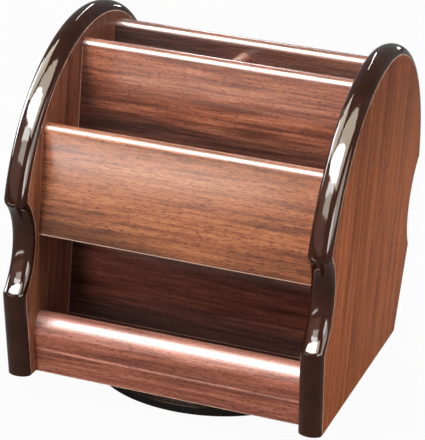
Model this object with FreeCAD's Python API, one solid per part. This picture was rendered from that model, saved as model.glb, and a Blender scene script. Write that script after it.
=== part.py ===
"""Rotating desk organizer: a wooden carcass with pockets and two small drawers, on a round turntable.

Frame: millimetres, +Z up, origin on the table under the turning axis, +X to the right, -Y to the front.
Every separate piece is written to parts/NODE.step.
"""
import FreeCAD, Part
import os
from math import asin, atan2, cos, hypot, pi, sin, sqrt, tan

V = FreeCAD.Vector

# boards
side_thickness = 12.0
panel_thickness = 8.0
rail_thickness = 11.0
base_board_thickness = 12.0
overall_width = 166.0
arris = 0.7  # radius that eases the boards' edges

# heights above the table
pad_thickness = 1.0
disc_thickness = 5.0
carcass_bottom = 12.0
floor_top = carcass_bottom + 17.0

# outline of the side panels, the same to the front and to the back of the turning axis
leg_foot_y = 74.3
lower_cusp_y, lower_cusp_z = 86.2, carcass_bottom + 47.1
waist_y, waist_z = 76.9, carcass_bottom + 73.8
arch_radius, arch_z = 91.3, carcass_bottom + 81.8
upper_cusp_z = carcass_bottom + 97.9
moulding_rise = 4.6
tongue_depth, tongue_thickness = 5.0, 2.0

# front rail, which leans outwards with the legs; a quarter round takes its face over to its back
rail_foot_y = -68.2
rail_face_length = 20.1

# pocket panels, partitions and shelves
pocket_face_y = 73.0
pocket_panel_bottom = carcass_bottom + 75.6
pocket_panel_top = carcass_bottom + 133.1
partition_middle_y = 23.3
partition_top = carcass_bottom + 165.9
divider_top = carcass_bottom + 158.8
shelf_bottom = carcass_bottom + 77.0
front_shelf_thickness = 7.0

# plinth and drawers at the back
plinth_face_y = 72.0
drawer_face_y = 72.0
drawer_side_gap = 0.8
drawer_top_gap = 0.8
drawer_running_gap = 0.4
drawer_back_gap = 1.6
drawer_wall = 5.0
drawer_box_height = 50.0
drawer_bottom_thickness = 3.0
drawer_bottom_lift = 3.0
drawer_groove = 2.5

drawer_bay_setback = 2.0  # from the drawer fronts to the edge of the board between them

# knobs and their screws
knob_length, knob_foot_height = 15.0, 1.2
knob_foot_radius, knob_neck_radius, knob_collar_radius = 4.5, 3.2, 3.8
knob_head_radius, knob_rim_radius = 6.5, 5.6
knob_collar_out, knob_rim_start, knob_rim_end = 6.6, 7.8, 11.2  # distances out from the drawer front
knob_screw_radius, knob_screw_depth = 1.75, 10.0
pan_head_radius, pan_head_height = 3.5, 2.2

# turntable
disc_radius = 60.0
disc_edge_radius = 1.0
pad_radius, pad_circle_radius, pad_count = 5.0, 50.0, 4
ball_radius, ball_circle_radius, ball_count = 2.5, 41.0, 20
groove_clearance = 0.05
race_gap = 1.4  # half of the gap between the two rings
inner_ring_bore, outer_ring_radius = 30.0, 52.0
ring_height = 9.8
cage_gap, cage_height, cage_pocket_clearance = 0.3, 7.0, 0.1
inner_screw_circle, outer_screw_circle = 34.5, 47.6
ring_screw_radius, countersunk_head_radius, countersunk_height = 1.5, 3.0, 1.6
disc_screw_length, outer_screw_length = 13.0, 19.0
ring_screw_count = 4

# wooden dowels
dowel_radius, dowel_length = 2.0, 18.0
dowel_end_gap = 0.4
dowel_depth_in_side = 7.0
dowel_depth_in_panel = 5.0
dowel_reach_up_rail = 7.0, 23.0
dowel_y_in_base_board = -42.0, 0.0, 42.0
dowel_y_in_middle_shelf = -8.0, 50.0
dowel_y_in_front_shelf = -54.0, -39.0
dowel_y_under_bay_divider = 5.0, 52.0
dowel_height_in_plinth = 8.5  # this and the next four are heights above the carcass's bottom
dowel_heights_in_front_partition = 32.0, 90.0, 148.0
dowel_heights_in_rear_partition = 100.0, 148.0
dowel_heights_in_pocket_panel = 92.0, 122.0
dowel_heights_in_centre_divider = 105.0, 145.0

inner_x = overall_width / 2 - side_thickness
side_middle_x = overall_width / 2 - side_thickness / 2
lean = atan2(lower_cusp_y - leg_foot_y, lower_cusp_z - carcass_bottom)
upper_cusp_y = sqrt(arch_radius**2 - (upper_cusp_z - arch_z) ** 2)
partition_front_face = partition_middle_y + panel_thickness / 2
partition_inner_face = partition_middle_y - panel_thickness / 2
pocket_inner_y = pocket_face_y - panel_thickness
shelf_top = shelf_bottom + panel_thickness
disc_top = pad_thickness + disc_thickness
base_board_bottom = floor_top - base_board_thickness
ball_z = (disc_top + base_board_bottom) / 2
beyond = 4 * arch_radius  # a length that reaches past the whole organizer


def circle_through(a, b, c):
    """Centre and radius of the circle through three points of the YZ plane."""
    d = 2 * (a[0] * (b[1] - c[1]) + b[0] * (c[1] - a[1]) + c[0] * (a[1] - b[1]))
    squares = [p[0] ** 2 + p[1] ** 2 for p in (a, b, c)]
    y = (squares[0] * (b[1] - c[1]) + squares[1] * (c[1] - a[1]) + squares[2] * (a[1] - b[1])) / d
    z = (squares[0] * (c[0] - b[0]) + squares[1] * (a[0] - c[0]) + squares[2] * (b[0] - a[0])) / d
    return y, z, hypot(a[0] - y, a[1] - z)


waist_centre_y, waist_centre_z, waist_radius = circle_through(
    (lower_cusp_y, lower_cusp_z), (waist_y, waist_z), (upper_cusp_y, upper_cusp_z)
)


def box(x0, x1, y0, y1, z0, z1):
    return Part.makeBox(x1 - x0, y1 - y0, z1 - z0, V(x0, y0, z0))


def prism(points, x0, x1):
    """A polygon given by (y, z) points, extruded along X."""
    corners = [V(x0, y, z) for y, z in points]
    return Part.Face(Part.makePolygon(corners + corners[:1])).extrude(V(x1 - x0, 0, 0))


def mirrored(shape):
    """The same shape on the other side of the plane y = 0."""
    return shape.mirror(V(0, 0, 0), V(0, 1, 0))


def eased(shape, chosen, radius=arris):
    """The shape with the straight edges that the test picks rounded over."""
    edges = [e for e in shape.Edges if len(e.Vertexes) == 2 and chosen(e.BoundBox)]
    return shape.makeFillet(radius, edges)


def lengthwise(bounds):
    return bounds.XLength > 2 * panel_thickness


# ---- side panels and their edge mouldings ----


def leg_line_y(z, inset):
    """Where the leg's edge, moved inwards by inset, is at height z."""
    return leg_foot_y + (z - carcass_bottom) * tan(lean) - inset / cos(lean)


def lower_corner(inset):
    """Where the inset leg line meets the inset waist arc."""
    radius = waist_radius + inset
    along = V(0, sin(lean), cos(lean))
    start = V(0, leg_line_y(carcass_bottom, inset), carcass_bottom)
    centre = V(0, waist_centre_y, waist_centre_z)
    reach = (centre - start).dot(along)
    apart = (centre - start - along * reach).Length
    return start + along * (reach - sqrt(radius**2 - apart**2))


def upper_corner(inset):
    """Where the inset waist arc meets the inset arch."""
    arch, waist = arch_radius - inset, waist_radius + inset
    centre = V(0, 0, arch_z)
    towards = V(0, waist_centre_y, waist_centre_z) - centre
    apart = towards.Length
    along = (arch**2 - waist**2 + apart**2) / (2 * apart)
    across = sqrt(arch**2 - along**2)
    towards = towards / apart
    return centre + towards * along + V(0, -towards.z, towards.y) * across


def side_outline(inset, x):
    """The side panel's outline, moved inwards by inset everywhere but at its foot."""
    foot = V(x, leg_line_y(carcass_bottom, inset), carcass_bottom)
    low, high = (V(x, p.y, p.z) for p in (lower_corner(inset), upper_corner(inset)))
    waist = V(x, waist_centre_y - waist_radius - inset, waist_centre_z)
    crown = V(x, 0, arch_z + arch_radius - inset)

    def front(p):
        return V(p.x, -p.y, p.z)

    edges = [
        Part.LineSegment(front(foot), foot),
        Part.LineSegment(foot, low),
        Part.Arc(low, waist, high),
        Part.Arc(high, crown, front(high)),
        Part.Arc(front(high), front(waist), front(low)),
        Part.LineSegment(front(low), front(foot)),
    ]
    return Part.Face(Part.Wire([e.toShape() for e in edges]))


def half_round(centre_x, base, outwards, depth):
    """A face that is flat to a depth behind base and bulges by moulding_rise in front of it."""
    half = side_thickness / 2
    left, right = base - V(half, 0, 0), base + V(half, 0, 0)
    ellipse = Part.Ellipse(right, base + outwards * moulding_rise, base)
    bulge = Part.ArcOfEllipse(ellipse, 0, pi).toShape()
    start, end = bulge.Vertexes[0].Point, bulge.Vertexes[-1].Point
    back = outwards * -depth
    run = [end, end + back, start + back, start]
    return Part.Face(Part.Wire([bulge] + Part.makePolygon(run).Edges))


def rounded_blank(x):
    """The side panel and its moulding together, as one solid about the plane X = x."""
    foot = V(x, leg_foot_y, carcass_bottom)
    along = V(0, sin(lean), cos(lean))
    outwards = V(0, cos(lean), -sin(lean))
    start = foot - along * arch_radius
    leg = half_round(x, start, outwards, beyond).extrude(along * beyond)
    half = side_thickness / 2
    legs = leg.common(mirrored(leg)).common(
        box(x - half, x + half, -beyond, beyond, carcass_bottom, waist_centre_z)
    )
    rim = half_round(x, V(x, 0, arch_z + arch_radius), V(0, 0, 1), arch_radius)
    disc = rim.revolve(V(x, 0, arch_z), V(1, 0, 0), 360)
    disc = disc.common(box(x - half, x + half, -beyond, beyond, waist_centre_z, beyond))
    return legs.fuse(disc).cut(waist_cutter(x)).cut(mirrored(waist_cutter(x))).removeSplitter()


def waist_cutter(x):
    """A spool about the waist's centre that leaves the moulding standing proud of the waist arc."""
    half = side_thickness / 2
    past = half + panel_thickness
    base = V(x, waist_centre_y - waist_radius, waist_centre_z)
    ellipse = Part.Ellipse(base + V(half, 0, 0), base + V(0, moulding_rise, 0), base)
    bulge = Part.ArcOfEllipse(ellipse, 0, pi).toShape()
    start, end = bulge.Vertexes[0].Point, bulge.Vertexes[-1].Point
    run = [
        end,
        end + V(half - past, 0, 0),
        V(x - past, waist_centre_y, waist_centre_z),
        V(x + past, waist_centre_y, waist_centre_z),
        start + V(past - half, 0, 0),
        start,
    ]
    face = Part.Face(Part.Wire([bulge] + Part.makePolygon(run).Edges))
    return face.revolve(V(x, waist_centre_y, waist_centre_z), V(1, 0, 0), 360)


def side_and_moulding(sign):
    """The side panel with a groove round its edge, and the moulding whose tongue sits in the groove."""
    x = sign * side_middle_x
    half, tongue_half = side_thickness / 2, tongue_thickness / 2
    panel = side_outline(0, x - half).extrude(V(side_thickness, 0, 0))
    core = side_outline(tongue_depth, x - half).extrude(V(side_thickness, 0, 0))
    slab = box(x - tongue_half, x + tongue_half, -beyond, beyond, 0, beyond)
    tongue = panel.cut(core).common(slab)
    moulding = rounded_blank(x).cut(panel).fuse(tongue).removeSplitter()
    return panel.cut(tongue), moulding


# ---- boards between the side panels ----


def board(y0, y1, z0, z1):
    return box(-inner_x, inner_x, y0, y1, z0, z1)


def bullnosed(y0, y1, z0, z1, x0=-inner_x, x1=inner_x):
    """An upright board whose top edge is a full half round along X."""
    radius = (y1 - y0) / 2
    flat = box(x0, x1, y0, y1, z0, z1 - radius)
    top = Part.makeCylinder(radius, x1 - x0, V(x0, (y0 + y1) / 2, z1 - radius), V(1, 0, 0))
    return flat.fuse(top).removeSplitter()


def front_rail():
    along = V(0, -sin(lean), cos(lean))
    inwards = V(0, cos(lean), sin(lean))
    foot = V(-inner_x, rail_foot_y, carcass_bottom)
    front = foot + along * rail_face_length
    top = front + (inwards + along) * rail_thickness
    hub = front + inwards * rail_thickness
    bend = hub + (along - inwards) * (rail_thickness / sqrt(2))
    heel = foot + V(0, rail_thickness / cos(lean), 0)
    edges = [
        Part.LineSegment(foot, front),
        Part.Arc(front, bend, top),
        Part.LineSegment(top, heel),
        Part.LineSegment(heel, foot),
    ]
    face = Part.Face(Part.Wire([e.toShape() for e in edges]))
    rail = face.extrude(V(2 * inner_x, 0, 0))
    return eased(rail, lambda b: lengthwise(b) and (b.ZMax < carcass_bottom + 1 or b.ZMin > top.z - 1))


def rail_back_y(z):
    return rail_foot_y + rail_thickness / cos(lean) - (z - carcass_bottom) * tan(lean)


def base_board():
    back = plinth_face_y - panel_thickness
    return prism(
        [
            (rail_back_y(base_board_bottom), base_board_bottom),
            (back, base_board_bottom),
            (back, floor_top),
            (rail_back_y(floor_top), floor_top),
        ],
        -inner_x,
        inner_x,
    )


def pocket_panel():
    panel = bullnosed(pocket_inner_y, pocket_face_y, pocket_panel_bottom, pocket_panel_top)
    return eased(panel, lambda b: lengthwise(b) and b.ZMax < pocket_panel_bottom + 1)


def front_partition():
    panel = bullnosed(-partition_front_face, -partition_inner_face, floor_top, partition_top)
    return eased(panel, lambda b: lengthwise(b) and b.ZMax < floor_top + 1)


def rear_partition():
    return bullnosed(partition_inner_face, partition_front_face, shelf_top, partition_top)


def centre_divider():
    """Fore-and-aft board between the partitions, its top edge a half round along Y."""
    half = panel_thickness / 2
    flat = box(-half, half, -partition_inner_face, partition_inner_face, shelf_top, divider_top - half)
    top = Part.makeCylinder(
        half, 2 * partition_inner_face, V(0, -partition_inner_face, divider_top - half), V(0, 1, 0)
    )
    return flat.fuse(top).removeSplitter()


def rear_plinth():
    plinth = board(plinth_face_y - panel_thickness, plinth_face_y, carcass_bottom, floor_top)
    return eased(plinth, lambda b: lengthwise(b) and b.YMin > plinth_face_y - 1)


def bay_divider():
    """Upright board between the two drawers, notched at its top for the rear pocket panel."""
    half, edge_y = panel_thickness / 2, drawer_face_y - drawer_bay_setback
    whole = box(-half, half, -partition_inner_face, edge_y, floor_top, shelf_bottom)
    return whole.cut(box(-half, half, pocket_inner_y, edge_y, pocket_panel_bottom, shelf_bottom))


# ---- dowels ----


def cylinder(centre, axis, length, radius=dowel_radius):
    return Part.makeCylinder(radius, length, centre - axis * (length / 2), axis)


def dowel_places():
    """Middle point and direction of every dowel."""
    along = V(0, -sin(lean), cos(lean))
    middle = V(0, rail_foot_y, carcass_bottom) + V(0, cos(lean), sin(lean)) * (rail_thickness / 2)
    rail = [middle + along * distance for distance in dowel_reach_up_rail]
    base_z = floor_top - base_board_thickness / 2
    pocket_y = pocket_face_y - panel_thickness / 2
    shelf_z = shelf_bottom + panel_thickness / 2
    front_shelf_z = shelf_bottom + front_shelf_thickness / 2
    ends = [(p.y, p.z) for p in rail]
    ends += [(y, base_z) for y in dowel_y_in_base_board]
    ends += [(plinth_face_y - panel_thickness / 2, carcass_bottom + dowel_height_in_plinth)]
    ends += [(-partition_middle_y, carcass_bottom + h) for h in dowel_heights_in_front_partition]
    ends += [(partition_middle_y, carcass_bottom + h) for h in dowel_heights_in_rear_partition]
    ends += [(y, shelf_z) for y in dowel_y_in_middle_shelf]
    ends += [(y, front_shelf_z) for y in dowel_y_in_front_shelf]
    pocket_heights = [carcass_bottom + h for h in dowel_heights_in_pocket_panel]
    ends += [(side * pocket_y, z) for side in (-1, 1) for z in pocket_heights]
    shift = inner_x + dowel_depth_in_side - dowel_length / 2
    places = [(V(side * shift, y, z), V(1, 0, 0)) for side in (-1, 1) for y, z in ends]
    shift = partition_inner_face + dowel_depth_in_panel - dowel_length / 2
    divider_heights = [carcass_bottom + h for h in dowel_heights_in_centre_divider]
    places += [(V(0, side * shift, z), V(0, 1, 0)) for side in (-1, 1) for z in divider_heights]
    low = floor_top - dowel_depth_in_side + dowel_length / 2
    places += [(V(0, y, low), V(0, 0, 1)) for y in dowel_y_under_bay_divider]
    return places


# ---- drawers ----


def drawer_span():
    """Left and right outer faces of the right-hand drawer."""
    return panel_thickness / 2 + drawer_side_gap, inner_x - drawer_side_gap


def drawer_parts():
    """The right-hand drawer's wooden pieces, by name."""
    x0, x1 = drawer_span()
    z0 = floor_top + drawer_running_gap
    z1 = z0 + drawer_box_height
    y0 = -partition_inner_face + drawer_back_gap
    y1 = drawer_face_y - panel_thickness
    face_top = pocket_panel_bottom - drawer_top_gap
    wall = drawer_wall
    bottom = box(
        x0 + wall - drawer_groove,
        x1 - wall + drawer_groove,
        y0 + wall - drawer_groove,
        y1 + drawer_groove,
        z0 + drawer_bottom_lift,
        z0 + drawer_bottom_lift + drawer_bottom_thickness,
    )
    front = box(x0, x1, y1, drawer_face_y, z0, face_top)
    front = eased(front, lambda b: b.YMin > drawer_face_y - 1 and b.YLength < 1)

    def at_top(bounds):
        return bounds.ZMin > z1 - 1 and bounds.XLength + bounds.YLength > 2 * wall

    pieces = {
        "front": front,
        "inner_side": eased(box(x0, x0 + wall, y0, y1, z0, z1), at_top),
        "outer_side": eased(box(x1 - wall, x1, y0, y1, z0, z1), at_top),
        "back": eased(box(x0 + wall, x1 - wall, y0, y0 + wall, z0, z1), at_top),
    }
    pieces = {name: shape.cut(bottom) for name, shape in pieces.items()}
    screw = knob_screw()
    pieces["front"] = pieces["front"].cut(screw)
    pieces["bottom"] = bottom
    pieces["knob"] = knob().cut(screw)
    pieces["knob_screw"] = screw
    return pieces


def knob_centre():
    x0, x1 = drawer_span()
    return V((x0 + x1) / 2, drawer_face_y, (floor_top + shelf_bottom) / 2)


def knob():
    """A turned knob: a small foot, a hollowed neck and a domed head."""
    centre = knob_centre()

    def at(radius, out):
        return centre + V(radius, out, 0)

    rise = knob_length - knob_rim_end
    dome_radius = (knob_rim_radius**2 + rise**2) / (2 * rise)
    half_angle = asin(knob_rim_radius / dome_radius) / 2
    dome_middle = at(dome_radius * sin(half_angle), knob_length - dome_radius * (1 - cos(half_angle)))
    foot, neck = at(knob_foot_radius, knob_foot_height), at(knob_neck_radius, knob_collar_out / 2)
    collar = at(knob_collar_radius, knob_collar_out)
    rim_start, rim_end = at(knob_rim_radius, knob_rim_start), at(knob_rim_radius, knob_rim_end)
    rim_middle = at(knob_head_radius, (knob_rim_start + knob_rim_end) / 2)
    tip = at(0, knob_length)
    edges = [
        Part.LineSegment(at(0, 0), at(knob_foot_radius, 0)),
        Part.LineSegment(at(knob_foot_radius, 0), foot),
        Part.Arc(foot, neck, collar),
        Part.LineSegment(collar, rim_start),
        Part.Arc(rim_start, rim_middle, rim_end),
        Part.Arc(rim_end, dome_middle, tip),
        Part.LineSegment(tip, at(0, 0)),
    ]
    face = Part.Face(Part.Wire([e.toShape() for e in edges]))
    return face.revolve(centre, V(0, 1, 0), 360)


def knob_screw():
    """Pan-head screw from inside the drawer, through its front and into the knob."""
    centre = knob_centre()
    inside = centre - V(0, panel_thickness, 0)
    shank = Part.makeCylinder(knob_screw_radius, panel_thickness + knob_screw_depth, inside, V(0, 1, 0))
    head_end = inside - V(0, pan_head_height, 0)
    head = Part.makeCylinder(pan_head_radius, pan_head_height, head_end, V(0, 1, 0))
    return head.fuse(shank).removeSplitter()


# ---- turntable ----


def around(shape, count):
    """Copies of a shape, evenly spaced about the turning axis, the first half a step from +X."""
    copies = []
    for i in range(count):
        copy = shape.copy()
        copy.rotate(V(0, 0, 0), V(0, 0, 1), 360.0 * (i + 0.5) / count)
        copies.append(copy)
    return Part.makeCompound(copies)


def ring(outer, inner, z0, z1):
    full = Part.makeCylinder(outer, z1 - z0, V(0, 0, z0))
    return full.cut(Part.makeCylinder(inner, z1 - z0, V(0, 0, z0)))


def countersunk_screw(circle, z, length):
    """A screw pointing up, its flat head at height z."""
    head = Part.makeCone(countersunk_head_radius, ring_screw_radius, countersunk_height, V(circle, 0, z))
    shank = Part.makeCylinder(ring_screw_radius, length, V(circle, 0, z))
    return head.fuse(shank).removeSplitter()


def turntable():
    disc = Part.makeCylinder(disc_radius, disc_thickness, V(0, 0, pad_thickness))
    disc = disc.makeFillet(disc_edge_radius, [e for e in disc.Edges if len(e.Vertexes) == 1])
    disc_screw = countersunk_screw(inner_screw_circle, pad_thickness, disc_screw_length)
    disc_screws = around(disc_screw, ring_screw_count)
    track = Part.makeTorus(ball_circle_radius, ball_radius + groove_clearance, V(0, 0, ball_z))
    inner = ring(ball_circle_radius - race_gap, inner_ring_bore, disc_top, disc_top + ring_height)
    outer_bottom = base_board_bottom - ring_height
    outer = ring(outer_ring_radius, ball_circle_radius + race_gap, outer_bottom, base_board_bottom)
    outer_screw = countersunk_screw(outer_screw_circle, outer_bottom, outer_screw_length)
    outer_screws = around(outer_screw, ring_screw_count)
    ball = Part.makeSphere(ball_radius, V(ball_circle_radius, 0, ball_z))
    cage_outer = ball_circle_radius + race_gap - cage_gap
    cage_inner = ball_circle_radius - race_gap + cage_gap
    pocket = Part.makeCylinder(
        ball_radius + cage_pocket_clearance,
        2 * race_gap,
        V(ball_circle_radius - race_gap, 0, ball_z),
        V(1, 0, 0),
    )
    cage = ring(cage_outer, cage_inner, ball_z - cage_height / 2, ball_z + cage_height / 2)
    pad = Part.makeCylinder(pad_radius, pad_thickness, V(pad_circle_radius, 0, 0))
    return {
        "anti_slip_pads": around(pad, pad_count),
        "base_disc": disc.cut(disc_screws),
        "disc_screws": disc_screws,
        "bearing_inner_ring": inner.cut(track).cut(disc_screws),
        "bearing_balls": around(ball, ball_count),
        "ball_cage": cage.cut(around(pocket, ball_count)),
        "bearing_outer_ring": outer.cut(track).cut(outer_screws),
        "outer_ring_screws": outer_screws,
    }


# ---- assembly ----


def carcass(ring_screws):
    left_side, left_moulding = side_and_moulding(-1)
    right_side, right_moulding = side_and_moulding(1)
    boards = {
        "left_side_panel": left_side,
        "right_side_panel": right_side,
        "base_board": base_board(),
        "front_rail": front_rail(),
        "front_pocket_panel": mirrored(pocket_panel()),
        "front_pocket_shelf": board(
            -pocket_inner_y, -partition_front_face, shelf_bottom, shelf_bottom + front_shelf_thickness
        ),
        "front_partition": front_partition(),
        "rear_partition": rear_partition(),
        "centre_divider": centre_divider(),
        "middle_shelf": board(-partition_inner_face, pocket_inner_y, shelf_bottom, shelf_top),
        "rear_pocket_panel": pocket_panel(),
        "drawer_bay_divider": bay_divider(),
        "rear_plinth": rear_plinth(),
    }
    places = dowel_places()
    hole_length = dowel_length + 2 * dowel_end_gap
    holes = Part.makeCompound([cylinder(p, axis, hole_length) for p, axis in places])
    nodes = {name: shape.cut(holes) for name, shape in boards.items()}
    nodes["base_board"] = nodes["base_board"].cut(ring_screws)
    nodes["left_edge_moulding"] = left_moulding
    nodes["right_edge_moulding"] = right_moulding
    dowels = [cylinder(p, axis, dowel_length) for p, axis in places]
    nodes["joining_dowels"] = Part.makeCompound(dowels)
    return nodes


def drawers():
    right = drawer_parts()
    nodes = {}
    for name, shape in right.items():
        nodes["right_drawer_" + name] = shape
        nodes["left_drawer_" + name] = shape.mirror(V(0, 0, 0), V(1, 0, 0))
    return nodes


def main():
    os.makedirs("parts", exist_ok=True)
    nodes = turntable()
    nodes.update(carcass(nodes["outer_ring_screws"]))
    nodes.update(drawers())
    for name, shape in sorted(nodes.items()):
        solids = shape.Solids
        valid = all(s.isValid() for s in solids)
        print(f"{name}: {len(solids)} solid(s), {shape.Volume / 1000:.2f} cm3, valid {valid}")
        kept = solids[0] if len(solids) == 1 else Part.makeCompound(solids)
        kept.exportStep(f"parts/{name}.step")


main()
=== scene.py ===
from math import atan2, cos, pi, radians, sin

import bmesh
import bpy
from mathutils import Matrix, Vector
from mathutils.geometry import intersect_line_sphere_2d, intersect_sphere_sphere_2d


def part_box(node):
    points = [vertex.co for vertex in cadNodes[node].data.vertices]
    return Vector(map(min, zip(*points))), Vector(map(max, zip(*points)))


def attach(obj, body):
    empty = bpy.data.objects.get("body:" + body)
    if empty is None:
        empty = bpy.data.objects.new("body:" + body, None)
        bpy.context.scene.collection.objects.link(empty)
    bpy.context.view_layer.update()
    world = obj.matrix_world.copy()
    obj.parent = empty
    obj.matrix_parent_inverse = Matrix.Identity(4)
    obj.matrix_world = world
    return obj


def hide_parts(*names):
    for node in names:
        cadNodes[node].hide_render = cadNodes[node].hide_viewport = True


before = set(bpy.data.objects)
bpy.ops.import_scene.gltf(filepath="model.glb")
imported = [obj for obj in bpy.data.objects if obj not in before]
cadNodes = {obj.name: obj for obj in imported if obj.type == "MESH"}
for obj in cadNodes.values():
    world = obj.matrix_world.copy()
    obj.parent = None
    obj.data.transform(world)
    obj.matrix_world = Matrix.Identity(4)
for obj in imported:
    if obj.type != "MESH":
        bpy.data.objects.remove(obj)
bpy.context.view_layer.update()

mm = 0.001
mergeDistance = 0.0005 * mm     # vertices nearer than this become one
planeTolerance = 0.001 * mm
edgeReach = 0.1 * mm            # an edge this near to a flat face lies on it
print("frame loaded,", len(cadNodes), "nodes")


# shader maths

class Value:
    # a shader socket written like a number: each operator adds its Math node
    def __init__(self, graph, socket):
        self.graph = graph
        self.socket = socket

    def math(self, operation, first, second):
        return self.graph.node("ShaderNodeMath", {"operation": operation}, {0: first, 1: second})

    def __add__(self, other):
        return self.math("ADD", self, other)

    def __radd__(self, other):
        return self.math("ADD", other, self)

    def __sub__(self, other):
        return self.math("SUBTRACT", self, other)

    def __rsub__(self, other):
        return self.math("SUBTRACT", other, self)

    def __mul__(self, other):
        return self.math("MULTIPLY", self, other)

    def __rmul__(self, other):
        return self.math("MULTIPLY", other, self)


class Graph:
    # a node tree of a material or of the world
    def __init__(self, tree):
        self.tree = tree

    def node(self, kind, settings, inputs, output=0):
        made = self.tree.nodes.new(kind)
        for key, value in settings.items():
            if key == "stops":
                self.fillRamp(made.color_ramp, value)
            else:
                setattr(made, key, value)
        for key, value in inputs.items():
            self.feed(made.inputs[key], value)
        return Value(self, made.outputs[output])

    def feed(self, socket, value):
        if isinstance(value, Value):
            self.tree.links.new(value.socket, socket)
        else:
            socket.default_value = value

    def fillRamp(self, ramp, stops):
        while len(ramp.elements) < len(stops):
            ramp.elements.new(1.0)
        for element, (position, colour) in zip(ramp.elements, stops):
            element.position = position
            element.color = (*colour, 1.0)

    def backdrop(self, cameraShare, mirrorShare):
        # how much of the plain background a camera ray sees, and a ray off a mirror or through glass
        rays = (f"Is {kind} Ray" for kind in ("Camera", "Glossy", "Transmission"))
        seen, glossy, through = (self.node("ShaderNodeLightPath", {}, {}, ray) for ray in rays)
        return seen * cameraShare + (glossy + through) * mirrorShare


usualNoise = (0.3, 0.7)     # most of a noise lies between these


class Finish(Graph):
    # a material with one Principled shader, built up by expressions
    def __init__(self, name, **constants):
        self.material = bpy.data.materials.new(name)
        self.material.use_nodes = True
        super().__init__(self.material.node_tree)
        self.shader = self.tree.nodes["Principled BSDF"]
        self.paint(**constants)

    def paint(self, **sockets):
        for key, value in sockets.items():
            self.feed(self.shader.inputs[key.replace("_", " ")], value)

    def here(self):
        return self.node("ShaderNodeTexCoord", {}, {}, "Object")

    def along(self, axis):
        return self.node("ShaderNodeSeparateXYZ", {}, {0: self.here()}, axis)

    def noise(self, scale, shift, detail, rough, warp=0.0):
        # scale is the number of patches in a metre along each axis
        inputs = {"Vector": self.here(), "Location": shift, "Scale": scale}
        where = self.node("ShaderNodeMapping", {}, inputs)
        inputs = {"Vector": where, "Scale": 1.0, "Detail": detail, "Roughness": rough, "Distortion": warp}
        return self.node("ShaderNodeTexNoise", {}, inputs)

    def mottle(self, scale, detail, rough):
        return self.noise((scale, scale, scale), (0, 0, 0), detail, rough)

    def grainNoise(self, grain, shift, length, across, detail, rough, warp):
        # patches drawn out along the grain; their length and width are in mm
        scale = [1.0 / (across * mm)] * 3
        scale["XYZ".index(grain)] = 1.0 / (length * mm)
        return self.noise(scale, shift, detail, rough, warp)

    def spread(self, value, low, high, newLow=0.0, newHigh=1.0):
        inputs = {"Value": value, 1: low, 2: high, 3: newLow, 4: newHigh}
        return self.node("ShaderNodeMapRange", {"interpolation_type": "SMOOTHSTEP"}, inputs)

    def spreadNoise(self, value, newLow, newHigh):
        return self.spread(value, *usualNoise, newLow, newHigh)

    def ramp(self, value, stops):
        return self.node("ShaderNodeValToRGB", {"stops": stops}, {0: value}, "Color")

    def twoTone(self, value, dark, light):
        return self.ramp(value, list(zip(usualNoise, (dark, light))))

    def mix(self, amount, under, over, blend="MIX"):
        under, over = ((*c, 1.0) if isinstance(c, tuple) else c for c in (under, over))
        settings = {"data_type": "RGBA", "blend_type": blend, "clamp_factor": True}
        return self.node("ShaderNodeMix", settings, {0: amount, 6: under, 7: over}, 2)

    def arris(self):
        return self.node("ShaderNodeAttribute", {"attribute_name": "arris"}, {}, "Fac")

    def bump(self, height, relief):
        inputs = {"Height": height, "Distance": relief * mm, "Strength": 1.0}
        self.paint(Normal=self.node("ShaderNodeBump", {}, inputs))


# finishes; a relief is in mm, and a mottling has the patches in a metre, detail and roughness of a noise

walnut = {
    # the figure's layers: length and width in mm, detail, roughness and warp of the noise, and its seed
    "band": (170.0, 10.0, 3.0, 0.55, 0.6, 0.0),
    "streak": (34.0, 1.6, 4.0, 0.6, 0.2, 7.3),
    "fibre": (5.5, 0.5, 2.0, 0.5, 0.0, 3.1),
    "pore": (2.6, 0.5, 1.0, 0.4, 0.0, 5.7),
    # the stretch of each noise that shows, and the tint that it gives
    "figureRange": (0.37, 0.63),
    "fibreRange": (0.38, 0.62), "fibreTint": (0.62, 0.50, 0.46), "fibreDepth": 0.5,
    "poreRange": (0.54, 0.66), "poreTint": (0.42, 0.30, 0.27), "poreDepth": 0.8,
    "arrisColour": (0.78, 0.55, 0.42), "arrisShare": 0.75,
    # the tint of the painted shade, and how far its edge wanders
    "heart": (0.30, 0.25, 0.30), "shadeWander": 0.02,            # wander in metres
    "roughness": (0.36, 0.48), "poreRoughness": 0.12,
    "relief": 0.04, "poreRelief": 0.8, "fibreRelief": 0.25,     # the last two are shares of the relief
}
# coat weight, coat roughness and specular level under the coat
coats = {"polished": (1.0, 0.14, 0.25), "silky": (0.7, 0.23, 0.2), "matt": (0.0, 0.3, 0.08)}


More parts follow.
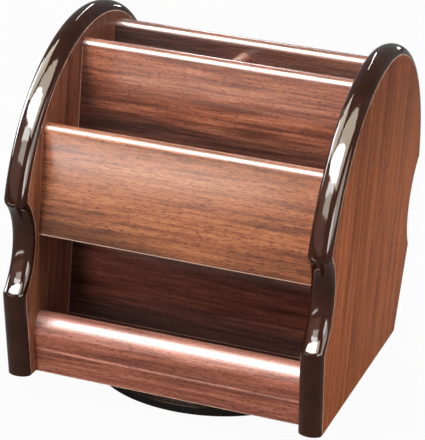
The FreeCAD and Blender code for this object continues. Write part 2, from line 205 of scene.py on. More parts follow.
def walnutFinish(name, grain, tones, shift, coat="polished", fade=None, heart=walnut["heart"], width=1.0):
    # laminate with its grain along one axis, whose tones run from the darkest to the lightest.
    # Fade is painted shade, given as (dark height, clear height, strength, rise to the left): between the
    # two heights, in mm, the figure darkens towards the shade tint, fully at the dark height, and the rise
    # lets the shade reach higher on the left. Width stretches the figure across the grain.
    weight, blur, under = coats[coat]
    finish = Finish(name, IOR=1.45, Coat_Weight=weight, Coat_Roughness=blur, Specular_IOR_Level=under)

    def layer(kind):
        length, across, detail, rough, warp, seed = walnut[kind]
        moved = [s + seed for s in shift]
        return finish.grainNoise(grain, moved, length, across * width, detail, rough, warp)

    band, streak, fibre, pore = (layer(kind) for kind in ("band", "streak", "fibre", "pore"))
    figure = finish.spread(band * 0.5 + streak * 0.5, *walnut["figureRange"])
    lines = finish.spread(fibre, *walnut["fibreRange"])
    pores = finish.spread(pore, *walnut["poreRange"])
    colour = finish.ramp(figure, [(i / (len(tones) - 1), tone) for i, tone in enumerate(tones)])
    colour = finish.mix(lines * walnut["fibreDepth"], colour, walnut["fibreTint"], "MULTIPLY")
    colour = finish.mix(pores * walnut["poreDepth"], colour, walnut["poreTint"], "MULTIPLY")
    # painted shade: the colour darkens towards the shade tint between the two heights
    if fade:
        dark, clear, strength, rise = fade
        height = finish.along("Z") + finish.along("X") * rise + (band - 0.5) * walnut["shadeWander"]
        shade = finish.spread(height, dark * mm, clear * mm, strength, 0.0)
        colour = finish.mix(shade, colour, heart, "MULTIPLY")
    colour = finish.mix(finish.arris() * walnut["arrisShare"], colour, walnut["arrisColour"])
    rough = finish.spreadNoise(streak, *walnut["roughness"]) + pores * walnut["poreRoughness"]
    finish.paint(Base_Color=colour, Roughness=rough)
    finish.bump(1.0 - pores * walnut["poreRelief"] - lines * walnut["fibreRelief"], walnut["relief"])
    return finish.material


panelTones = [(0.162, 0.05, 0.018), (0.275, 0.088, 0.033), (0.373, 0.125, 0.047), (0.475, 0.18, 0.071)]
railTones = [(0.155, 0.044, 0.026), (0.268, 0.08, 0.046), (0.345, 0.108, 0.065), (0.443, 0.16, 0.096)]
leftTones = [(0.17, 0.061, 0.029), (0.285, 0.107, 0.051), (0.376, 0.148, 0.075), (0.479, 0.205, 0.112)]
rightTones = [(0.145, 0.037, 0.011), (0.243, 0.066, 0.019), (0.322, 0.092, 0.028), (0.41, 0.128, 0.042)]
innerTones = [(0.124, 0.034, 0.016), (0.237, 0.07, 0.032), (0.332, 0.107, 0.049), (0.436, 0.162, 0.08)]
# painted shade: a darkened copy of the laminate for the bin's floor, which lies in shade
paintedShadeTones = [(0.05, 0.015, 0.011), (0.09, 0.028, 0.021), (0.13, 0.043, 0.031), (0.19, 0.068, 0.048)]

ply = {
    # length and width of the patches in mm, then detail, roughness and warp of the noise
    "figure": (45.0, 1.6, 4.0, 0.6, 0.3),
    "fibre": (8.0, 0.4, 2.0, 0.5, 0.0),
    "tones": [(0.3, (0.42, 0.26, 0.13)), (0.55, (0.58, 0.39, 0.21)), (0.75, (0.66, 0.47, 0.28))],
    "fibreRange": (0.45, 0.7), "fibreTint": (0.62, 0.52, 0.42), "fibreDepth": 0.3,
    "arrisColour": (0.72, 0.55, 0.36), "arrisShare": 0.4,
    "roughness": (0.38, 0.52), "relief": 0.03,
}


def plyFinish(name, grain, shift):
    # pale drawer wood under thin varnish
    finish = Finish(name, IOR=1.45, Coat_Weight=0.15, Coat_Roughness=0.3)
    figure, fibre = (finish.grainNoise(grain, shift, *ply[kind]) for kind in ("figure", "fibre"))
    lines = finish.spread(fibre, *ply["fibreRange"])
    colour = finish.ramp(figure, ply["tones"])
    colour = finish.mix(lines * ply["fibreDepth"], colour, ply["fibreTint"], "MULTIPLY")
    colour = finish.mix(finish.arris() * ply["arrisShare"], colour, ply["arrisColour"])
    finish.paint(Base_Color=colour, Roughness=finish.spreadNoise(figure, *ply["roughness"]))
    finish.bump(1.0 - fibre, ply["relief"])
    return finish.material


lacquerLook = {
    "mottling": (60.0, 3.0, 0.6), "roughness": (0.045, 0.09),
    "tones": ((0.020, 0.0055, 0.0024), (0.038, 0.0110, 0.0052)),
    "ripple": ((150.0, 150.0, 60.0), (3.0, 1.0, 2.0), 2.0, 0.5), "relief": 0.16,    # scale, shift, noise
}


def lacquerFinish():
    # very dark brown high-gloss lacquer over the half-round mouldings
    finish = Finish("darkLacquer", IOR=1.5, Specular_IOR_Level=0.3)
    cloud = finish.mottle(*lacquerLook["mottling"])
    colour = finish.twoTone(cloud, *lacquerLook["tones"])
    finish.paint(Base_Color=colour, Roughness=finish.spreadNoise(cloud, *lacquerLook["roughness"]))
    finish.bump(finish.noise(*lacquerLook["ripple"]), lacquerLook["relief"])
    return finish.material


discLook = {
    "speck": (900.0, 2.0, 0.6), "roughness": (0.2, 0.3), "relief": 0.05,
    "cloud": (40.0, 2.0, 0.5),
    "rimTones": ((0.004, 0.003, 0.0025), (0.008, 0.005, 0.004)),
    "topTones": ((0.10, 0.048, 0.032), (0.14, 0.07, 0.047)),
    "reflectionDepths": (0.35, 0.05),     # mm below the top, where the painted reflection begins and where it is full
    "coats": (0.1, 0.8),             # weight on the rim and on the top
}


def blackPaintFinish():
    # the disc: black paint, and on its top a brown painted reflection of the wood above, under its varnish
    finish = Finish("blackPaint", IOR=1.45, Coat_Roughness=0.12, Specular_IOR_Level=0.3)
    speck, cloud = (finish.mottle(*discLook[kind]) for kind in ("speck", "cloud"))
    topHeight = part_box("base_disc")[1].z
    begins, full = (topHeight - depth * mm for depth in discLook["reflectionDepths"])
    # painted reflection: the top takes a brown tint for the wood above it
    paintedReflection = finish.spread(finish.along("Z"), begins, full)
    rim, top = (finish.twoTone(cloud, *discLook[tones]) for tones in ("rimTones", "topTones"))
    finish.paint(
        Base_Color=finish.mix(paintedReflection, rim, top),
        Roughness=finish.spreadNoise(speck, *discLook["roughness"]),
        Coat_Weight=finish.spread(paintedReflection, 0.0, 1.0, *discLook["coats"]),
    )
    finish.bump(speck, discLook["relief"])
    return finish.material


# mottling, dark and light tone, and the two ends of the roughness
mottledLooks = {
    "nylon": ((500.0, 3.0, 0.6), ((0.70, 0.70, 0.64), (0.80, 0.80, 0.75)), (0.4, 0.5)),
    "foamPad": ((2500.0, 3.0, 0.6), ((0.028, 0.028, 0.030), (0.055, 0.055, 0.058)), (0.75, 0.85)),
    "rawBeech": ((833.0, 3.0, 0.6), ((0.55, 0.38, 0.22), (0.72, 0.54, 0.35)), (0.6, 0.7)),
    "zincSteel": ((500.0, 3.0, 0.6), ((0.50, 0.50, 0.51), (0.66, 0.66, 0.67)), (0.22, 0.38)),
    "turnedAluminium": ((220.0, 2.0, 0.5), ((0.60, 0.61, 0.62), (0.74, 0.75, 0.76)), (0.26, 0.36)),
}
lathe = {"ringPitch": 0.35, "relief": 0.01}     # mm


def mottledFinish(name, relief=0.0, **constants):
    finish = Finish(name, **constants)
    mottling, tones, roughness = mottledLooks[name]
    cloud = finish.mottle(*mottling)
    finish.paint(Base_Color=finish.twoTone(cloud, *tones), Roughness=finish.spreadNoise(cloud, *roughness))
    if relief:
        finish.bump(cloud, relief)
    return finish


def turnedAluminiumFinish():
    # fine lathe rings about the turning axis
    finish = mottledFinish("turnedAluminium", Metallic=1.0, IOR=1.5)
    x, y = finish.along("X"), finish.along("Y")
    radius = finish.node("ShaderNodeMath", {"operation": "SQRT"}, {0: x * x + y * y})
    turns = radius * (2 * pi / (lathe["ringPitch"] * mm))
    finish.bump(finish.node("ShaderNodeMath", {"operation": "SINE"}, {0: turns}), lathe["relief"])
    return finish.material


lacquer = lacquerFinish()
blackPaint = blackPaintFinish()
steel = mottledFinish("zincSteel", Metallic=1.0, IOR=1.5).material
turnedAluminium = turnedAluminiumFinish()
nylon = mottledFinish("nylon", 0.01, IOR=1.45).material
foam = mottledFinish("foamPad", 0.12, IOR=1.45).material
rawBeech = mottledFinish("rawBeech", 0.05, IOR=1.45).material
print("finishes made")


# modelling helpers

def addObject(name, bm, material):
    # turns a bmesh into a mesh object of the scene
    mesh = bpy.data.meshes.new(name)
    bm.to_mesh(mesh)
    bm.free()
    mesh.materials.append(material)
    made = bpy.data.objects.new(name, mesh)
    bpy.context.scene.collection.objects.link(made)
    return made


def keep(node, bm, material, body, sharpAngle):
    # turns a finished bmesh into the piece that stands for a CAD node and rides on its body;
    # edges sharper than the angle, in degrees, stay crisp
    bmesh.ops.remove_doubles(bm, verts=bm.verts, dist=mergeDistance)
    bmesh.ops.recalc_face_normals(bm, faces=bm.faces)
    for edge in bm.edges:
        edge.smooth = edge.is_manifold and edge.calc_face_angle(pi) < radians(sharpAngle)
    for face in bm.faces:
        face.smooth = True
    piece = addObject(node + "Look", bm, material)
    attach(piece, body)
    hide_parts(node)


def freshMesh():
    # the arris layer marks rounded edges, which the wood finishes show a little paler
    bm = bmesh.new()
    bm.faces.layers.float.new("arris")
    return bm


def markArris(bm, faces, amount=1.0):
    layer = bm.faces.layers.float["arris"]
    for face in faces:
        face[layer] = amount


def roundEdges(bm, edges, radius, steps, clamp=False):
    made = bmesh.ops.bevel(
        bm, geom=edges, offset=radius * mm, offset_type="OFFSET", affect="EDGES",
        segments=steps, profile=0.5, material=-1, clamp_overlap=clamp,
    )
    return made["faces"]


def ease(bm, edges, radius, steps):
    markArris(bm, roundEdges(bm, edges, radius, steps))


def block(bm, low, high):
    matrix = Matrix.Translation((low + high) / 2) @ Matrix.Diagonal((*(high - low), 1.0))
    bmesh.ops.create_cube(bm, size=1.0, matrix=matrix)


def extend(bm, last, place):
    # draws an edge from a vertex to a new one at a place
    made = bmesh.ops.extrude_vert_indiv(bm, verts=[last])["verts"][0]
    made.co = place
    return made


def arc(bm, start, centre, axis, angle, steps):
    # turns one vertex about an axis and returns the new vertices in order
    first = len(bm.verts)
    bmesh.ops.spin(
        bm, geom=[start], cent=centre, axis=axis, dvec=(0, 0, 0), angle=angle, steps=steps,
        use_merge=False, use_duplicate=False,
    )
    bm.verts.ensure_lookup_table()
    return list(bm.verts[first:])


def lengthEdges(bm, along, where):
    # straight edges along an axis for which the test on their middle point holds
    axis = Vector([float(along == name) for name in "XYZ"])
    almostParallel = 0.99
    chosen = []
    for edge in bm.edges:
        a, b = (v.co for v in edge.verts)
        if abs((b - a).normalized().dot(axis)) > almostParallel and where((a + b) / 2):
            chosen.append(edge)
    return chosen


def fillAndExtrude(bm, run):
    # a flat outline becomes a face, which is drawn out along a vector into a solid
    face = bmesh.ops.contextual_create(bm, geom=bm.edges[:])["faces"][0]
    drawn = bmesh.ops.extrude_face_region(bm, geom=[face], use_keep_orig=True)["geom"]
    bmesh.ops.translate(bm, verts=[g for g in drawn if isinstance(g, bmesh.types.BMVert)], vec=run)


# side boards and their edge mouldings, in mm

sideBoard = {
    "middleX": 77.0, "thickness": 12.0,
    "footY": 74.3, "footZ": 12.0,
    "lowCusp": (86.2, 59.1), "waist": (76.9, 85.8),
    "archZ": 93.8, "archRadius": 91.3, "highCuspZ": 109.9,
    "archSteps": 72, "waistSteps": 30,
    "reach": 200.0,             # the leg's line is drawn this long to meet the waist
    "eased": 0.45, "easeSteps": 3, "sharpAngle": 50.0,
    # painted shade: the boards darken from the clear height up to the dark height, in mm
    "darkHeight": 185.0, "clearHeight": 95.0, "figureWidth": 0.5,
}
# tones, shift of the figure, and how dark the painted shade grows towards the crown; both boards are one
# laminate, and the left one's paler tones and stronger painted shade stand for the light on its inner face
sideLooks = {
    "left": (leftTones, (-5.0, 2.0, 9.0), 0.85),
    "right": (rightTones, (5.0, 2.0, 9.0), 0.55),
}
moulding = {
    "rise": 4.6, "sectionSteps": 18,
    "tongueDepth": 5.0, "tongueHalf": 1.0,
    "mitreRadius": 1.4, "mitreSteps": 5, "mitreMargin": 2,      # steps at each rim that stay sharp
    "sharpAngle": 40.0,
}
hands = {"left": -1, "right": 1}


def circleThrough(a, b, c):
    # centre and radius of the circle through three points
    d = 2 * (a[0] * (b[1] - c[1]) + b[0] * (c[1] - a[1]) + c[0] * (a[1] - b[1]))
    sa, sb, sc = (p[0] ** 2 + p[1] ** 2 for p in (a, b, c))
    y = (sa * (b[1] - c[1]) + sb * (c[1] - a[1]) + sc * (a[1] - b[1])) / d
    z = (sa * (c[0] - b[0]) + sb * (a[0] - c[0]) + sc * (b[0] - a[0])) / d
    centre = Vector((y, z))
    return centre, (Vector(a) - centre).length


archMiddle = Vector((0.0, sideBoard["archZ"]))
highCuspRise = sideBoard["highCuspZ"] - sideBoard["archZ"]
highCuspY = (sideBoard["archRadius"] ** 2 - highCuspRise ** 2) ** 0.5
waistMiddle, waistRadius = circleThrough(
    sideBoard["lowCusp"], sideBoard["waist"], (highCuspY, sideBoard["highCuspZ"])
)
legFoot = Vector((sideBoard["footY"], sideBoard["footZ"]))
legRun = (Vector(sideBoard["lowCusp"]) - legFoot).normalized()
lean = atan2(legRun.x, legRun.y)


def outlineChain(bm, x, out):
    # the rear half of a side board's outline, moved outwards by out, from the crown down to the foot
    arch, waist = sideBoard["archRadius"] + out, waistRadius - out
    high = max(intersect_sphere_sphere_2d(archMiddle, arch, waistMiddle, waist), key=lambda p: p.y)
    legStart = legFoot + Vector((out / cos(lean), 0.0))
    legEnd = legStart + legRun * sideBoard["reach"]
    low = min(intersect_line_sphere_2d(legStart, legEnd, waistMiddle, waist, False), key=lambda p: p.y)
    crown = bm.verts.new((x * mm, 0.0, (archMiddle.y + arch) * mm))
    centre = (x * mm, archMiddle.x * mm, archMiddle.y * mm)
    turn = atan2(high.x, high.y - archMiddle.y)
    chain = [crown] + arc(bm, crown, centre, (1, 0, 0), -turn, sideBoard["archSteps"])
    highCorner = len(chain) - 1
    fromMiddle, toMiddle = high - waistMiddle, low - waistMiddle
    centre = (x * mm, waistMiddle.x * mm, waistMiddle.y * mm)
    turn = atan2(-toMiddle.y, -toMiddle.x) - atan2(-fromMiddle.y, -fromMiddle.x)
    chain += arc(bm, chain[-1], centre, (1, 0, 0), turn, sideBoard["waistSteps"])
    lowCorner = len(chain) - 1
    chain.append(extend(bm, chain[-1], (x * mm, legStart.x * mm, legStart.y * mm)))
    return chain, (highCorner, lowCorner)


def chainEdges(bm, chain):
    return [bm.edges.get(pair) for pair in zip(chain, chain[1:])]


def sweep(bm, profile, closed):
    # one outline for each (x, out) point of the profile, skinned from each to the next
    chains, corners = [], ()
    for x, out in profile:
        chain, corners = outlineChain(bm, x, out)
        chains.append(chain)
    pairs = list(zip(chains, chains[1:]))
    if closed:
        pairs.append((chains[-1], chains[0]))
    strips = [
        bmesh.ops.bridge_loops(bm, edges=chainEdges(bm, first) + chainEdges(bm, second))["faces"]
        for first, second in pairs
    ]
    return pairs, strips, corners


def closeFace(bm, onPlane):
    # joins the loose ends of the open rim that lies on a plane, then fills it
    rim = [e for e in bm.edges if len(e.link_faces) < 2 and all(onPlane(v.co) for v in e.verts)]
    uses = [v for e in rim for v in e.verts]
    ends = sorted({v for v in uses if uses.count(v) == 1}, key=lambda v: (v.co.x, v.co.y))
    for pair in zip(ends[::2], ends[1::2]):
        rim += bmesh.ops.contextual_create(bm, geom=pair)["edges"]
    markArris(bm, bmesh.ops.contextual_create(bm, geom=rim)["faces"], 0.0)


def closeFoot(bm):
    closeFace(bm, lambda co: abs(co.z - sideBoard["footZ"] * mm) < planeTolerance)


def mirrorFrontToBack(bm):
    everything = bm.verts[:] + bm.edges[:] + bm.faces[:]
    bmesh.ops.mirror(bm, geom=everything, matrix=Matrix.Identity(4), merge_dist=planeTolerance, axis="Y")


def moveToSide(bm, side):
    bmesh.ops.translate(bm, verts=bm.verts, vec=(hands[side] * sideBoard["middleX"] * mm, 0, 0))


def edgeMoulding(side):
    bm = freshMesh()
    half = sideBoard["thickness"] / 2
    steps, margin = moulding["sectionSteps"], moulding["mitreMargin"]
    angles = [pi * i / steps for i in range(steps + 1)]
    profile = [(-half * cos(a), moulding["rise"] * sin(a)) for a in angles]
    tongue, depth = moulding["tongueHalf"], -moulding["tongueDepth"]
    profile += [(tongue, 0.0), (tongue, depth), (-tongue, depth), (-tongue, 0.0)]
    pairs, _, corners = sweep(bm, profile, True)
    closeFoot(bm)
    mitres = []
    for first, second in pairs[margin:steps - margin]:
        mitres += [bm.edges.get((first[c], second[c])) for c in corners]
    roundEdges(bm, mitres, moulding["mitreRadius"], moulding["mitreSteps"], True)
    mirrorFrontToBack(bm)
    moveToSide(bm, side)
    keep(side + "_edge_moulding", bm, lacquer, "carcass", moulding["sharpAngle"])


def sidePanel(side):
    name = side + "_side_panel"
    bm = freshMesh()
    half, eased, steps = sideBoard["thickness"] / 2, sideBoard["eased"], sideBoard["easeSteps"]
    angles = [pi / 2 * i / steps for i in range(steps + 1)]
    tongue, depth = moulding["tongueHalf"], -moulding["tongueDepth"]
    rightHalf = [(tongue, depth), (tongue, 0.0)]
    rightHalf += [(half - eased + eased * sin(a), -eased + eased * cos(a)) for a in angles]
    profile = [(-x, out) for x, out in reversed(rightHalf)] + rightHalf
    strips = sweep(bm, profile, False)[1]
    for strip in strips[:steps] + strips[-steps:]:
        markArris(bm, strip)
    mirrorFrontToBack(bm)
    for x in (-half * mm, half * mm):
        closeFace(bm, lambda co: abs(co.x - x) < planeTolerance)
    closeFoot(bm)
    moveToSide(bm, side)
    tones, shift, strength = sideLooks[side]
    # painted shade, darker towards the crown
    fade = (sideBoard["darkHeight"], sideBoard["clearHeight"], strength, 0.0)
    finish = walnutFinish(name + "Walnut", "Z", tones, shift, "matt", fade, width=sideBoard["figureWidth"])
    keep(name, bm, finish, "carcass", sideBoard["sharpAngle"])


for side in hands:
    edgeMoulding(side)
for side in hands:
    sidePanel(side)
print("side boards and mouldings made")


# boards between the sides, in mm

boards = {
    "eased": 0.7, "easeSteps": 3,
    "endEase": 0.5, "endSteps": 2,
    "roundSteps": 18, "sharpAngle": 40.0,
}


def rearPlinth():
    name = "rear_plinth"
    low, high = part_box(name)
    bm = freshMesh()
    block(bm, low, high)
    backEdges = lengthEdges(bm, "X", lambda p: p.y > high.y - edgeReach)
    ease(bm, backEdges, boards["eased"], boards["easeSteps"])
    finish = walnutFinish("plinthWalnut", "X", railTones, (7.0, 8.0, 1.0))
    keep(name, bm, finish, "carcass", boards["sharpAngle"])


def roundTopBoard(name, tones, shift, along="X", easeFoot=True, easeEnds=False, **finishing):
    # an upright board whose top edge is a full half round
    low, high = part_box(name)
    bm = freshMesh()
    length, across = (0, 1) if along == "X" else (1, 0)
    radius = (high[across] - low[across]) / 2
    shoulderZ = high.z - radius
    axis, run = Vector(), Vector()
    axis[length] = 1.0
    run[length] = high[length] - low[length]
    centre = (low + high) / 2
    centre[length] = low[length]
    centre.z = shoulderZ
    turn = -pi if along == "X" else pi
    foot = bm.verts.new(low)
    shoulder = extend(bm, foot, (low.x, low.y, shoulderZ))
    farShoulder = arc(bm, shoulder, centre, axis, turn, boards["roundSteps"])[-1]
    farFoot = extend(bm, farShoulder, (farShoulder.co.x, farShoulder.co.y, low.z))
    bmesh.ops.contextual_create(bm, geom=[foot, farFoot])
    fillAndExtrude(bm, run)
    if easeFoot:
        footEdges = lengthEdges(bm, along, lambda p: p.z < low.z + edgeReach)
        ease(bm, footEdges, boards["eased"], boards["easeSteps"])
    if easeEnds:
        endEdges = lengthEdges(bm, "Z", lambda p: p.z < shoulderZ)
        ease(bm, endEdges, boards["endEase"], boards["endSteps"])
    finish = walnutFinish(name + "Walnut", along, tones, shift, **finishing)
    keep(name, bm, finish, "carcass", boards["sharpAngle"])


rail = {
    "footY": -68.2, "thickness": 11.0, "faceLength": 20.1,
    "ledge": 13.8, "ledgeHeight": 1.0, "ledgeDepth": 0.55, "fade": 6.2,   # a shallow step along the face
    "spare": 6.0, "cutTolerance": 0.0001,   # drawn on below the foot, then cut off level with it
    "topReach": 0.05,                       # an edge this near to the top is eased
    "sharpAngle": 24.0,
}


def frontRail():
    # drawn upright with its face on the plane y = 0, then leaned back and cut
    name = "front_rail"
    low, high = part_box(name)
    bm = freshMesh()
    ledge, spareZ = rail["ledge"], -rail["spare"] * mm
    face = [(0.0, ledge), (rail["ledgeDepth"], ledge + rail["ledgeHeight"])]
    face += [(0.0, ledge + rail["fade"]), (0.0, rail["faceLength"])]
    foot = bm.verts.new((low.x, 0.0, spareZ))
    last = foot
    for y, z in face:
        last = extend(bm, last, (low.x, y * mm, z * mm))
    centre = (low.x, rail["thickness"] * mm, rail["faceLength"] * mm)
    last = arc(bm, last, centre, (1, 0, 0), -pi / 2, boards["roundSteps"])[-1]
    last = extend(bm, last, (last.co.x, last.co.y, spareZ))
    bmesh.ops.contextual_create(bm, geom=[foot, last])
    fillAndExtrude(bm, (high.x - low.x, 0, 0))
    bmesh.ops.rotate(bm, cent=(0, 0, 0), matrix=Matrix.Rotation(lean, 3, "X"), verts=bm.verts)
    bmesh.ops.translate(bm, vec=(0, rail["footY"] * mm, low.z), verts=bm.verts)
    bmesh.ops.bisect_plane(
        bm, geom=bm.verts[:] + bm.edges[:] + bm.faces[:], dist=rail["cutTolerance"] * mm,
        plane_co=(0, 0, low.z), plane_no=(0, 0, -1), clear_outer=True,
    )
    bmesh.ops.holes_fill(bm, edges=[e for e in bm.edges if e.is_boundary], sides=0)
    footZ = low.z + edgeReach
    topZ = max(v.co.z for v in bm.verts) - rail["topReach"] * mm
    corners = lengthEdges(bm, "X", lambda p: p.z < footZ or p.z > topZ)
    ease(bm, corners, boards["eased"], boards["easeSteps"])
    finish = walnutFinish("railWalnut", "X", railTones, (1.0, 4.0, 2.0), "silky")
    keep(name, bm, finish, "carcass", rail["sharpAngle"])


frontRail()
# painted shade: the front pocket panel darkens towards its foot, reaching higher on the left
roundTopBoard("front_pocket_panel", panelTones, (2.3, 5.0, 1.6), coat="silky",
              fade=(85.0, 99.0, 1.0, 0.12), heart=(0.33, 0.26, 0.17))
roundTopBoard("rear_pocket_panel", panelTones, (3.3, 6.0, 1.6))
# painted shade: the partitions darken downwards into the pockets
roundTopBoard("front_partition", innerTones, (2.0, 9.0, 3.0), easeEnds=True, fade=(120.0, 156.0, 1.0, 0.0))
roundTopBoard("rear_partition", innerTones, (5.0, 3.0, 7.0), easeFoot=False, fade=(162.0, 186.0, 1.0, 0.0))
roundTopBoard("centre_divider", innerTones, (8.0, 1.0, 5.0), along="Y", easeFoot=False)
rearPlinth()
print("boards made")


# drawers and their knobs, in mm

drawer = {
    "frontEase": 0.7, "frontSteps": 3, "wallEase": 0.35, "wallSteps": 2, "sharpAngle": 40.0,
    "frontShift": 90.0, "wallShift": 5.0,       # these give the two drawers different figures
}
# the grain's axis and the shift of the figure
drawerWalls = {
    "inner_side": ("Y", (1.0, 2.0, 3.0)),
    "outer_side": ("Y", (4.0, 3.0, 1.0)),
    "back": ("X", (7.0, 1.0, 8.0)),
    "bottom": ("X", (9.0, 5.0, 4.0)),
}
knobShape = {
    # radius and distance out
    "foot": (4.5, 1.2), "neck": (3.2, 3.3), "collar": (3.8, 6.6),
    "rimStart": (5.6, 7.8), "rimMiddle": (6.5, 9.5), "rimEnd": (5.6, 11.2), "tip": (0.0, 15.0),
    "neckSteps": 10, "rimSteps": 8, "tipSteps": 8, "turns": 64,
    "poleMerge": 0.002, "sharpAngle": 35.0,
}


def drawerFront(side):
    name = side + "_drawer_front"
    low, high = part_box(name)
    bm = freshMesh()
    block(bm, low, high)
    rim = [e for e in bm.edges if all(v.co.y > high.y - edgeReach for v in e.verts)]
    ease(bm, rim, drawer["frontEase"], drawer["frontSteps"])
    finish = walnutFinish(name + "Walnut", "X", panelTones, (low.x * drawer["frontShift"], 2.0, 4.0))
    keep(name, bm, finish, side + "_drawer", drawer["sharpAngle"])


def drawerWall(side, part, grain, shift):
    name = side + "_drawer_" + part
    bm = freshMesh()
    block(bm, *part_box(name))
    ease(bm, bm.edges[:], drawer["wallEase"], drawer["wallSteps"])
    finish = plyFinish(name + "Ply", grain, shift)
    keep(name, bm, finish, side + "_drawer", drawer["sharpAngle"])


def arcThrough(bm, last, start, middle, end, steps):
    # bends the profile on from its last vertex, at start, through a middle point to an end point
    centre = circleThrough(start, middle, end)[0]
    first, final = (Vector(p) - centre for p in (start, end))
    turn = atan2(first.x * final.y - first.y * final.x, first.dot(final))
    return arc(bm, last, (centre.x * mm, centre.y * mm, 0), (0, 0, 1), turn, steps)[-1]


def drawerKnob(side):
    # half a section in the plane of x and y, turned about the y axis
    name = side + "_drawer_knob"
    low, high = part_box(name)
    shape = knobShape
    bm = freshMesh()
    (footRadius, footOut), (rimRadius, rimOut) = shape["foot"], shape["rimStart"]
    endRadius, endOut = shape["rimEnd"]
    last = extend(bm, bm.verts.new((0, 0, 0)), (footRadius * mm, 0, 0))
    last = extend(bm, last, (footRadius * mm, footOut * mm, 0))
    last = arcThrough(bm, last, shape["foot"], shape["neck"], shape["collar"], shape["neckSteps"])
    last = extend(bm, last, (rimRadius * mm, rimOut * mm, 0))
    last = arcThrough(bm, last, shape["rimStart"], shape["rimMiddle"], shape["rimEnd"], shape["rimSteps"])
    domeCentre = circleThrough(shape["rimEnd"], shape["tip"], (-endRadius, endOut))[0]
    halfTurn = atan2(endRadius, endOut - domeCentre.y)
    arc(bm, last, (0, domeCentre.y * mm, 0), (0, 0, 1), halfTurn, shape["tipSteps"])
    bmesh.ops.spin(
        bm, geom=bm.verts[:] + bm.edges[:], cent=(0, 0, 0), axis=(0, 1, 0), dvec=(0, 0, 0),
        angle=2 * pi, steps=shape["turns"], use_merge=True, use_duplicate=False,
    )
    bmesh.ops.remove_doubles(bm, verts=bm.verts, dist=shape["poleMerge"] * mm)
    bmesh.ops.translate(bm, verts=bm.verts, vec=((low.x + high.x) / 2, low.y, (low.z + high.z) / 2))
    keep(name, bm, lacquer, side + "_drawer", shape["sharpAngle"])


for number, side in enumerate(hands):
    drawerFront(side)
    drawerKnob(side)
    for part, (grain, (x, y, z)) in drawerWalls.items():
        drawerWall(side, part, grain, (x, y + number * drawer["wallShift"], z))
print("drawers made")


# nodes that keep their own mesh

def dress(node, material):
    for slot in cadNodes[node].material_slots:
        slot.link = "DATA"
    cadNodes[node].data.materials.clear()
    cadNodes[node].data.materials.append(material)


dress("base_disc", blackPaint)
dress("anti_slip_pads", foam)
dress("joining_dowels", rawBeech)
dress("ball_cage", nylon)
for node in ("bearing_inner_ring", "bearing_outer_ring"):
    dress(node, turnedAluminium)
steelNodes = ["bearing_balls", "disc_screws", "outer_ring_screws"]
steelNodes += [side + "_drawer_knob_screw" for side in hands]
for node in steelNodes:
    dress(node, steel)
# the bin's floor takes the darkened tones as painted shade
dress("base_board", walnutFinish("floorWalnut", "X", paintedShadeTones, (9.0, 3.0, 2.0), "matt"))
dress("drawer_bay_divider", walnutFinish("bayWalnut", "Y", innerTones, (2.0, 6.0, 5.0)))
dress("front_pocket_shelf", walnutFinish("frontShelfWalnut", "X", innerTones, (4.0, 4.0, 0.0)))
dress("middle_shelf", walnutFinish("middleShelfWalnut", "X", innerTones, (6.0, 2.0, 0.0)))
print("carried-over nodes dressed")


# camera

view = {
    "place": (0.28683, -0.95622, 0.44036),
    "turn": (70.355, -4.248, 18.428),    # degrees
    "lens": 166.8, "sensor": 36.0,       # mm, along the frame's long side
    "farClip": 20.0,                     # metres
}
lens = bpy.data.cameras.new("camera")
lens.lens = view["lens"]
lens.sensor_width = view["sensor"]
lens.clip_end = view["farClip"]
camera = bpy.data.objects.new("camera", lens)
camera.location = view["place"]
camera.rotation_euler = [radians(a) for a in view["turn"]]
bpy.context.scene.collection.objects.link(camera)
bpy.context.scene.camera = camera

# floor, lamps and reflector cards, in metres

studio = {
    "floorSize": 60.0, "floorDrop": 0.0001,      # the drop keeps the pads clear of the floor
    "floorColour": (0.24, 0.235, 0.23), "floorWhite": 0.96, "floorRoughness": 0.9,
    "world": (0.92, 0.96, 1.0), "worldStrength": 0.2, "mirrorShare": 0.08,
    "aim": (0.0, 0.0, 0.09),
}
# azimuth, elevation, distance, size, strength, colour
lamps = {
    "frontLamp": (-12.0, 6.0, 2.0, 0.4, 0.60, (1.0, 0.985, 0.96)),
    "keyLamp": (-30.0, 45.0, 2.0, 0.9, 0.54, (1.0, 0.985, 0.96)),
    "rightLamp": (88.0, 10.0, 2.0, 0.6, 0.75, (1.0, 0.98, 0.95)),
    "topLamp": (15.0, 78.0, 1.8, 1.0, 0.25, (1.0, 1.0, 1.0)),
    "backLamp": (-150.0, 38.0, 2.0, 1.0, 0.62, (0.97, 0.98, 1.0)),
}


def level(height, *corners):
    # corners of a card that lies flat at one height
    return [(x, y, height) for x, y in corners]


def upright(start, end, low, high):
    # corners of an upright rectangular card that stands on the line from start to end
    return [(*start, low), (*end, low), (*end, high), (*start, high)]


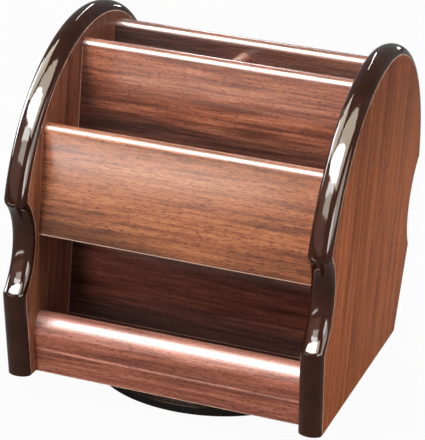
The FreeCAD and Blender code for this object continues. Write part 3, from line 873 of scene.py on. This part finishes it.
# cards that only gloss sees: corners, strength, colour
sweepHeight = 0.003
cards = {
    "overheadCard": (level(1.15, (-0.12, -0.10), (0.43, 0.08), (0.93, 0.0), (1.05, -0.45), (1.17, -0.87),
                           (1.10, -1.22), (-0.19, -1.10), (-0.76, -0.80), (-1.08, -0.52), (-0.5, -0.31)),
                     14.0, (1.0, 0.92, 0.72)),
    "frontCard": (level(1.14, (-1.3, -0.46), (-0.45, -0.40), (0.5, -0.47), (0.62, -1.08), (-0.19, -1.09),
                        (-1.06, -0.79)), 52.0, (0.96, 0.95, 1.0)),
    "backCard": (level(1.15, (-0.48, -0.18), (-1.2, -0.40), (-1.75, -0.2), (-1.75, 0.6), (-0.6, 0.42)),
                 13.0, (1.0, 0.92, 0.74)),
    "rightCard": (upright((3, -2.7), (3, 0.6), 0.02, 1.5), 9.0, (1.0, 0.88, 0.84)),
    "streakCard": (upright((2.9, -2.5), (2.9, -1.5), 0.02, 1.2), 22.0, (1.0, 0.97, 0.97)),
    "waistCard": ([(-0.85, -1.5, 0.8), (0.3, -1.5, 0.7), (0.3, -1.5, 1.2), (-0.85, -1.5, 1.2)],
                  11.0, (1.0, 0.95, 0.84)),
    "waistGlow": (upright((-1.2, -1.5), (0.5, -1.5), 1.2, 1.62), 26.0, (1.0, 0.97, 0.94)),
    "leftCard": (upright((-3, 0.1), (-3, 1.5), 0.2, 1.8), 19.0, (0.95, 0.97, 1.0)),
    "lowLeftCard": (upright((-2.9, -0.78), (0.52, -2.95), 0.15, 1.9), 1.5, (1.0, 0.62, 0.5)),
    "rearStrip": (upright((-1.10, 3), (-0.98, 3), 1.3, 3.6), 22.0, (1.0, 0.97, 0.97)),
    "rearSpot": (upright((0.15, 3), (0.4, 3), 0.3, 0.5), 22.0, (1.0, 0.97, 0.97)),
    "sweepCard": (level(sweepHeight, (-0.21, -0.54), (-0.05, -0.54), (-0.07, -0.42), (-0.17, -0.42)),
                  16.0, (1.0, 0.92, 0.87)),
    "sweepEdge": (level(sweepHeight, (-0.6, -0.42), (0.02, -0.42), (-0.05, -0.40), (-0.17, -0.36),
                        (-0.6, -0.34)), 7.0, (1.0, 0.95, 0.91)),
    "sweepLeft": (level(sweepHeight, (-0.6, -0.54), (-0.21, -0.54), (-0.17, -0.42), (-0.6, -0.42)),
                  20.0, (1.0, 0.97, 0.97)),
}


def towards(azimuth, elevation):
    # the way from the object to a lamp; azimuth 0 is the front and 90 the right
    a, e = radians(azimuth), radians(elevation)
    return Vector((sin(a) * cos(e), -cos(a) * cos(e), sin(e)))


def paleFloor():
    colour, roughness = (*studio["floorColour"], 1.0), studio["floorRoughness"]
    finish = Finish("paleFloor", Base_Color=colour, Roughness=roughness, Specular_IOR_Level=0.0)
    white = finish.node("ShaderNodeEmission", {}, {"Color": (1, 1, 1, 1), "Strength": 1.0})
    shown = finish.backdrop(studio["floorWhite"], studio["mirrorShare"])
    ground = Value(finish, finish.shader.outputs[0])
    mixed = finish.node("ShaderNodeMixShader", {}, {0: shown, 1: ground, 2: white})
    finish.feed(finish.tree.nodes["Material Output"].inputs["Surface"], mixed)
    bm = bmesh.new()
    bmesh.ops.create_grid(bm, x_segments=1, y_segments=1, size=studio["floorSize"] / 2)
    floor = addObject("floor", bm, finish.material)
    floor.location.z = -studio["floorDrop"]


def studioWorld():
    world = bpy.data.worlds.new("studio")
    bpy.context.scene.world = world
    world.use_nodes = True
    graph = Graph(world.node_tree)
    background = world.node_tree.nodes["Background"].inputs
    graph.feed(background["Color"], (*studio["world"], 1.0))
    shown = graph.backdrop(1.0, studio["mirrorShare"])
    graph.feed(background["Strength"], shown * (1.0 - studio["worldStrength"]) + studio["worldStrength"])


def softLamp(name, azimuth, elevation, distance, size, strength, colour):
    lamp = bpy.data.lights.new(name, "AREA")
    lamp.shape = "DISK"
    lamp.size = size
    lamp.energy = strength * (pi * distance) ** 2     # strength 1 shows a colour facing it as it is written
    lamp.color = colour
    back = towards(azimuth, elevation)
    lampObject = bpy.data.objects.new(name, lamp)
    lampObject.location = Vector(studio["aim"]) + back * distance
    lampObject.rotation_euler = back.to_track_quat("Z", "Y").to_euler()
    lampObject.visible_glossy = False
    bpy.context.scene.collection.objects.link(lampObject)


def glossCard(name, corners, strength, colour):
    black = (0, 0, 0, 1)
    glow = (*colour, 1.0)
    finish = Finish(name + "Glow", Base_Color=black, Emission_Color=glow, Emission_Strength=strength)
    bm = bmesh.new()
    bm.faces.new([bm.verts.new(c) for c in corners])
    card = addObject(name, bm, finish.material)
    card.visible_camera = card.visible_diffuse = card.visible_shadow = card.visible_transmission = False


paleFloor()
studioWorld()
for name, values in lamps.items():
    softLamp(name, *values)
for name, values in cards.items():
    glossCard(name, *values)
print("studio lit")


bpy.context.scene.view_settings.view_transform = "Standard"
